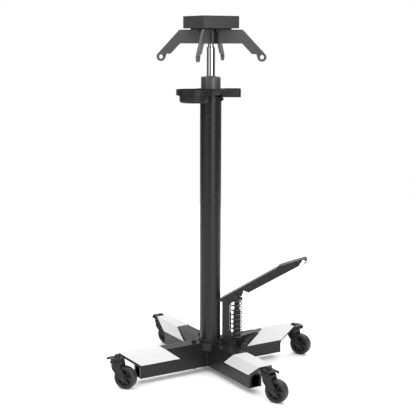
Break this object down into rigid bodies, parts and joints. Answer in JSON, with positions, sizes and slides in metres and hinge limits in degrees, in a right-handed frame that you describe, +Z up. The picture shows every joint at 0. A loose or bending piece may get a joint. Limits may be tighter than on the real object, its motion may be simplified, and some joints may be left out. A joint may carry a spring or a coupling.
{
  "type": "transmission jack",
  "caption": "Tall hydraulic transmission jack: cross base on castors, slim column with tool tray, foot pump, release pedal and swivel saddle with sloping arms.",
  "frame": {"origin": "on the floor under the column axis", "axes": "+Z up along the column; +X towards the foot pump pedal; the legs lie at 45, 135, 225 and 315 degrees"},
  "size_m": [0.6558, 0.6086, 1.277],
  "materials": {
    "black_paint": "satin charcoal powder coat",
    "white_paint": "satin white powder coat",
    "steel": "dark zinc",
    "chrome": "polished",
    "spring_steel": "dark oiled",
    "tray_plastic": "moulded",
    "wheel_plastic": "moulded",
    "tyre_rubber": "matt",
    "pad_rubber": "matt",
    "seal_rubber": "matt"
  },
  "bodies": {
    "base": {"leg_a": "black_paint", "leg_b": "black_paint", "leg_c": "black_paint", "leg_d": "black_paint", "leg_covers": "white_paint", "base_hub": "black_paint", "base_plate": "black_paint", "leg_bolts": "steel", "caster_brackets": "black_paint", "kingpin_bolts": "steel", "column_tube": "black_paint", "column_cap": "steel", "pressure_tube": "steel", "gland": "black_paint", "wiper_seal": "seal_rubber", "filler_plug": "steel", "tool_tray": "tray_plastic", "tray_clamp": "black_paint", "tray_screws": "steel", "pump_post": "black_paint", "pump_body": "black_paint", "pump_cylinder": "black_paint", "pedal_pin": "steel", "release_pin": "steel"},
    "ram": {"rod": "chrome", "piston": "steel", "piston_seal": "seal_rubber", "stop_sleeve": "steel"},
    "saddle": {"saddle_hub": "black_paint", "saddle_screw": "steel", "arm_px": "black_paint", "arm_py": "black_paint", "arm_nx": "black_paint", "arm_ny": "black_paint", "saddle_plate": "black_paint", "saddle_block": "pad_rubber", "block_screws": "steel"},
    "pedal": {"pedal_lever": "black_paint", "foot_plate": "black_paint"},
    "plunger": {"plunger": "steel", "plunger_pin": "steel", "spring_seat": "steel", "return_spring": "spring_steel"},
    "release": {"release_pedal": "black_paint"},
    "swivel_a": {"fork_a": "black_paint", "axle_a": "steel"},
    "wheel_a": {"rim_a": "wheel_plastic", "tyre_a": "tyre_rubber"},
    "swivel_b": {"fork_b": "black_paint", "axle_b": "steel"},
    "wheel_b": {"rim_b": "wheel_plastic", "tyre_b": "tyre_rubber"},
    "swivel_c": {"fork_c": "black_paint", "axle_c": "steel"},
    "wheel_c": {"rim_c": "wheel_plastic", "tyre_c": "tyre_rubber"},
    "swivel_d": {"fork_d": "black_paint", "axle_d": "steel"},
    "wheel_d": {"rim_d": "wheel_plastic", "tyre_d": "tyre_rubber"}
  },
  "joints": [
    {"name": "ram_lift", "type": "slide", "parent": "base", "child": "ram", "axis": [0, 0, 1], "range_m": [-0.09, 0.7]},
    {"name": "saddle_swivel", "type": "hinge", "parent": "ram", "child": "saddle", "pos_m": [0, 0, 1.2], "axis": [0, 0, 1], "continuous": true},
    {"name": "pump_pedal", "type": "hinge", "parent": "base", "child": "pedal", "pos_m": [0.0625, 0, 0.274], "axis": [0, 1, 0], "range_deg": [0, 41], "stiffness_Nm_per_rad": 12, "springref_deg": -28.65},
    {"name": "pump_plunger", "type": "slide", "parent": "base", "child": "plunger", "axis": [0, 0, -1], "range_m": [0, 0.0282], "deforming": ["return_spring"]},
    {"name": "release_press", "type": "hinge", "parent": "base", "child": "release", "pos_m": [0.113, 0, 0.113], "axis": [0, 1, 0], "range_deg": [0, 12], "stiffness_Nm_per_rad": 1.5, "springref_deg": -17.19},
    {"name": "caster_swivel_a", "type": "hinge", "parent": "base", "child": "swivel_a", "pos_m": [-0.26658, -0.26658, 0.09], "axis": [0, 0, 1], "continuous": true},
    {"name": "wheel_spin_a", "type": "hinge", "parent": "swivel_a", "child": "wheel_a", "pos_m": [-0.23506, -0.27214, 0.04], "axis": [0.1736, 0.9848, 0], "continuous": true},
    {"name": "caster_swivel_b", "type": "hinge", "parent": "base", "child": "swivel_b", "pos_m": [0.26658, -0.26658, 0.09], "axis": [0, 0, 1], "continuous": true},
    {"name": "wheel_spin_b", "type": "hinge", "parent": "swivel_b", "child": "wheel_b", "pos_m": [0.29684, -0.277, 0.04], "axis": [0.3256, 0.9455, 0], "continuous": true},
    {"name": "caster_swivel_c", "type": "hinge", "parent": "base", "child": "swivel_c", "pos_m": [0.26658, 0.26658, 0.09], "axis": [0, 0, 1], "continuous": true},
    {"name": "wheel_spin_c", "type": "hinge", "parent": "swivel_c", "child": "wheel_c", "pos_m": [0.29701, 0.25669, 0.04], "axis": [0.309, 0.9511, 0], "continuous": true},
    {"name": "caster_swivel_d", "type": "hinge", "parent": "base", "child": "swivel_d", "pos_m": [-0.26658, 0.26658, 0.09], "axis": [0, 0, 1], "continuous": true},
    {"name": "wheel_spin_d", "type": "hinge", "parent": "swivel_d", "child": "wheel_d", "pos_m": [-0.23582, 0.25776, 0.04], "axis": [0.2756, 0.9613, 0], "continuous": true}
  ],
  "couplings": [
    {"joint": "pump_plunger", "follows": "pump_pedal", "m_per_rad": 0.03918}
  ]
}
